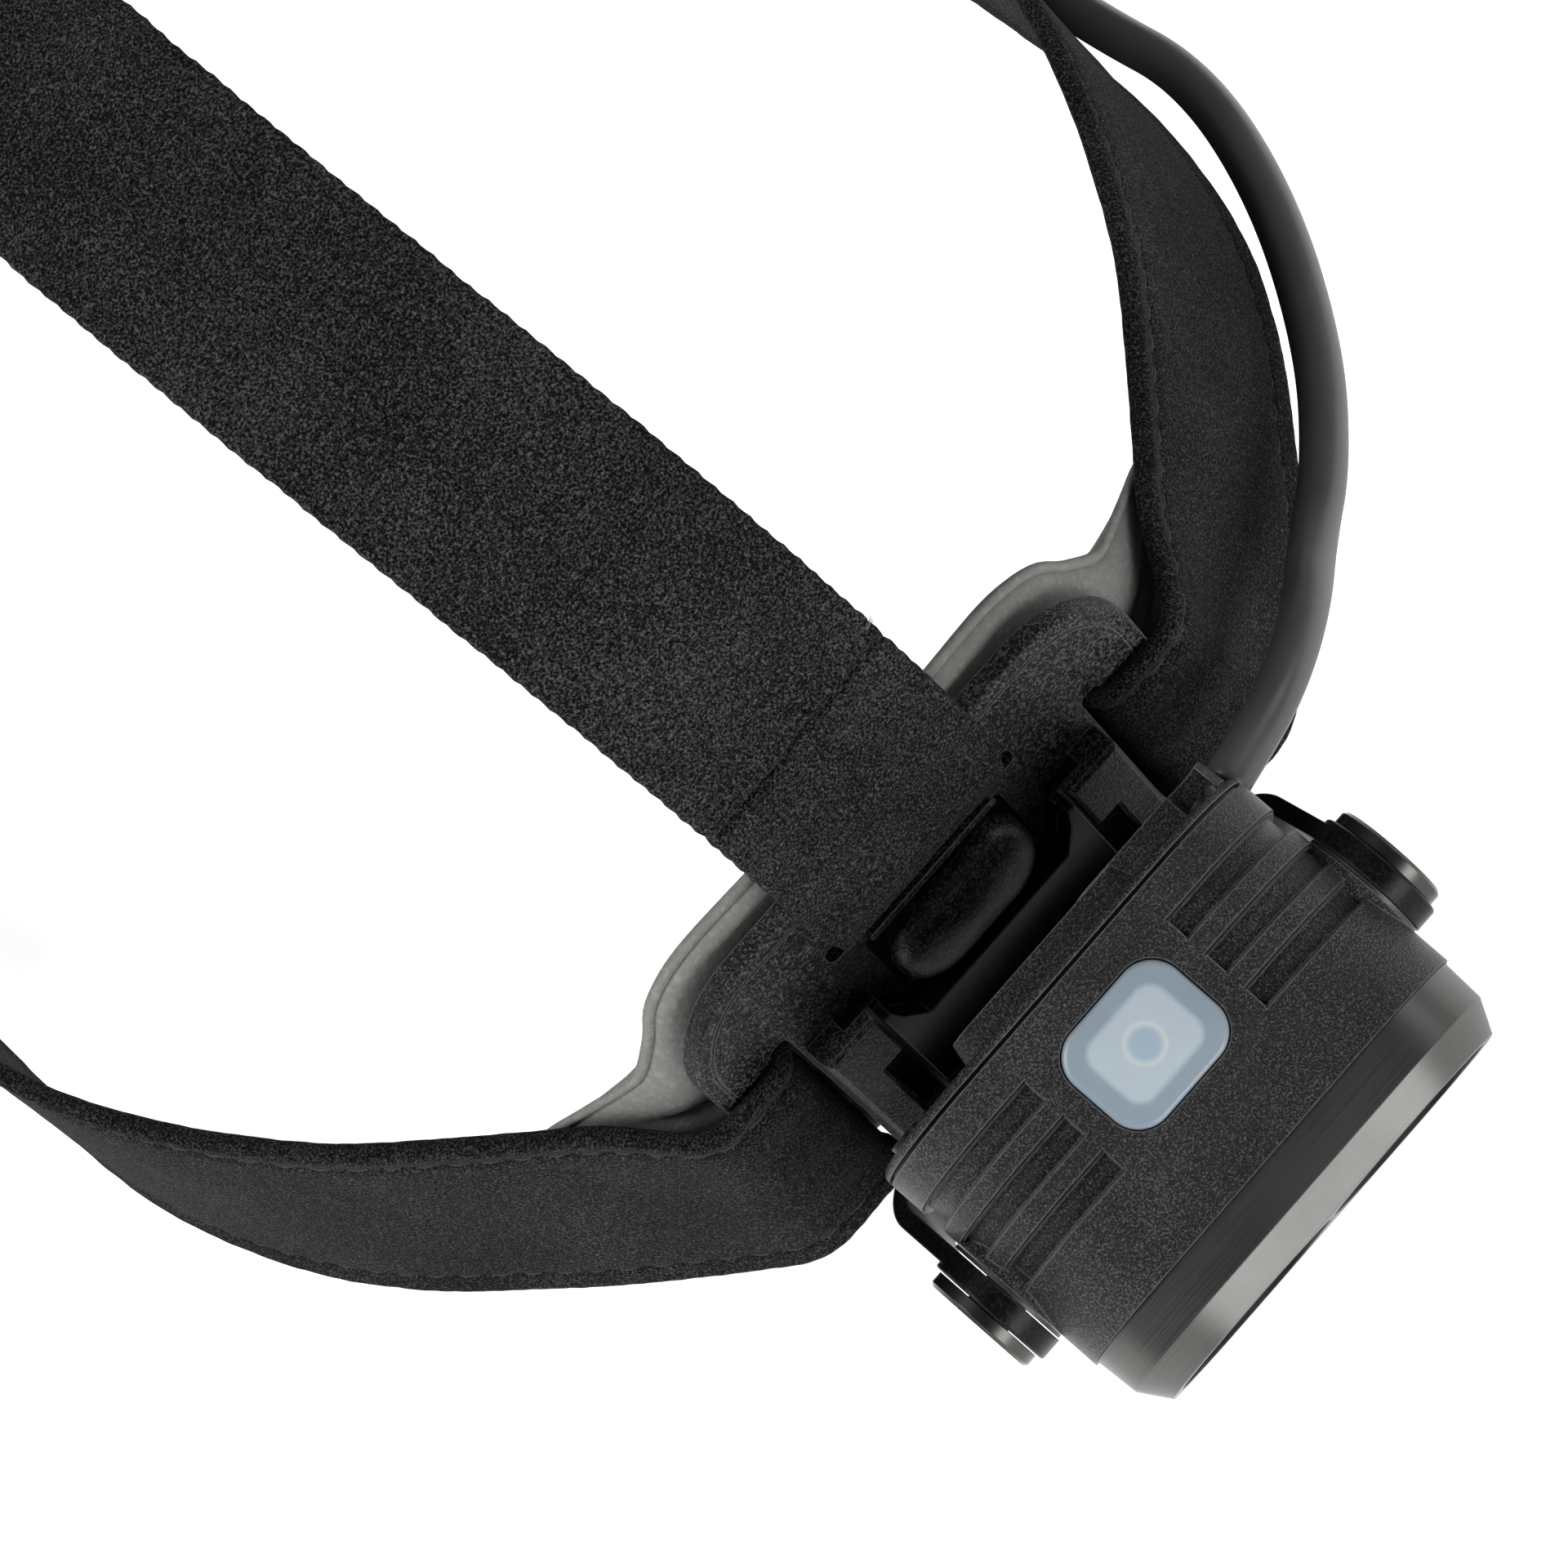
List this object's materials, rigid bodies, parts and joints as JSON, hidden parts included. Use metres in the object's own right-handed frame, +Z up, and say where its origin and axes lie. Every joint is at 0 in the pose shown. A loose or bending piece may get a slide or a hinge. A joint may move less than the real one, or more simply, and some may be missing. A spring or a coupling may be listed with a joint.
{
  "type": "headlamp",
  "caption": "Twin-beam headlamp on a three-strap head band, with a tilting lamp, push button, quick-release front plate and a rear battery case joined by a cable.",
  "frame": {"origin": "middle of the head band's loop, half way up the side straps, where the wearer's head is", "axes": "+Z up, the lamp looks along -Y, +X is the wearer's left"},
  "size_m": [0.1655, 0.2741, 0.1268],
  "materials": {
    "grained_casing": "fine sandy grain, satin",
    "satin_metal": "fine brushed, anodised grey",
    "clear_glass": "clear, polished",
    "reflector_metal": "mirror finish",
    "seal_rubber": "matte",
    "led_chip": "yellow phosphor",
    "circuit_board": "solder mask",
    "switch_black": "moulded",
    "button_silicone": "translucent, cold white",
    "screw_steel": "machined",
    "plate_plastic": "moulded, fine grain",
    "pad_foam": "soft foam with fabric skin",
    "strap_fabric": "loop-faced elastic webbing",
    "cable_jacket": "smooth satin jacket",
    "battery_casing": "moulded, fine grain",
    "cell_wrap": "shrink sleeve",
    "key_rubber": "matte"
  },
  "bodies": {
    "band": {"battery_board": "circuit_board", "battery_cell_lower": "cell_wrap", "battery_cell_upper": "cell_wrap", "battery_cover": "battery_casing", "battery_gasket": "seal_rubber", "battery_socket": "switch_black", "battery_tray": "battery_casing", "cable_loop": "strap_fabric", "cable_plug": "cable_jacket", "cover_screws": "screw_steel", "front_pad": "pad_foam", "front_plate": "plate_plastic", "lamp_cable_front": "cable_jacket", "lamp_cable_side": "cable_jacket", "rear_pad": "pad_foam", "rear_plate": "plate_plastic", "side_strap_left": "strap_fabric", "side_strap_right": "strap_fabric", "top_strap": "strap_fabric", "tray_screws": "screw_steel", "yoke": "grained_casing"},
    "lamp": {"lamp_body": "grained_casing", "rear_cover": "grained_casing", "rear_cover_gasket": "seal_rubber", "case_screws": "screw_steel", "front_bezel": "satin_metal", "front_lens": "clear_glass", "lens_gasket": "seal_rubber", "led_board": "circuit_board", "led_left": "led_chip", "led_right": "led_chip", "reflector_left": "reflector_metal", "reflector_right": "reflector_metal", "driver_board": "circuit_board", "tact_switch": "switch_black", "cable_gland": "cable_jacket", "pivot_screw_left": "satin_metal", "pivot_screw_right": "satin_metal", "friction_washer_left": "switch_black", "friction_washer_right": "switch_black"},
    "button": {"power_button": "button_silicone"},
    "tongue": {"release_tongue": "plate_plastic"},
    "battery_key": {"battery_button": "key_rubber"},
    "left_slider": {"side_slider_left": "plate_plastic"},
    "right_slider": {"side_slider_right": "plate_plastic"},
    "crown_slider": {"top_slider": "plate_plastic"}
  },
  "joints": [
    {"name": "lamp_tilt", "type": "hinge", "parent": "band", "child": "lamp", "pos_m": [0, -0.127, 0.004], "axis": [1, 0, 0], "range_deg": [-40, 20], "deforming": ["lamp_cable_front"]},
    {"name": "power_button_press", "type": "slide", "parent": "lamp", "child": "button", "axis": [0, 0.4384, -0.8988], "range_m": [0, 0.0006], "stiffness_N_per_m": 1500, "springref_m": -0.0003},
    {"name": "release_tongue_flex", "type": "hinge", "parent": "band", "child": "tongue", "pos_m": [0, -0.097, 0.015], "axis": [1, 0, 0], "range_deg": [0, 8], "stiffness_Nm_per_rad": 0.2, "springref_deg": -5.73},
    {"name": "battery_button_press", "type": "slide", "parent": "band", "child": "battery_key", "axis": [0, -1, 0], "range_m": [0, 0.0005], "stiffness_N_per_m": 1200, "springref_m": -0.0003},
    {"name": "left_slider_travel", "type": "slide", "parent": "band", "child": "left_slider", "axis": [0, 1, 0], "range_m": [-0.007, 0.007]},
    {"name": "right_slider_travel", "type": "slide", "parent": "band", "child": "right_slider", "axis": [0, 1, 0], "range_m": [-0.007, 0.007]},
    {"name": "crown_slider_travel", "type": "slide", "parent": "band", "child": "crown_slider", "axis": [0, 0, 1], "range_m": [-0.0045, 0.005]}
  ]
}
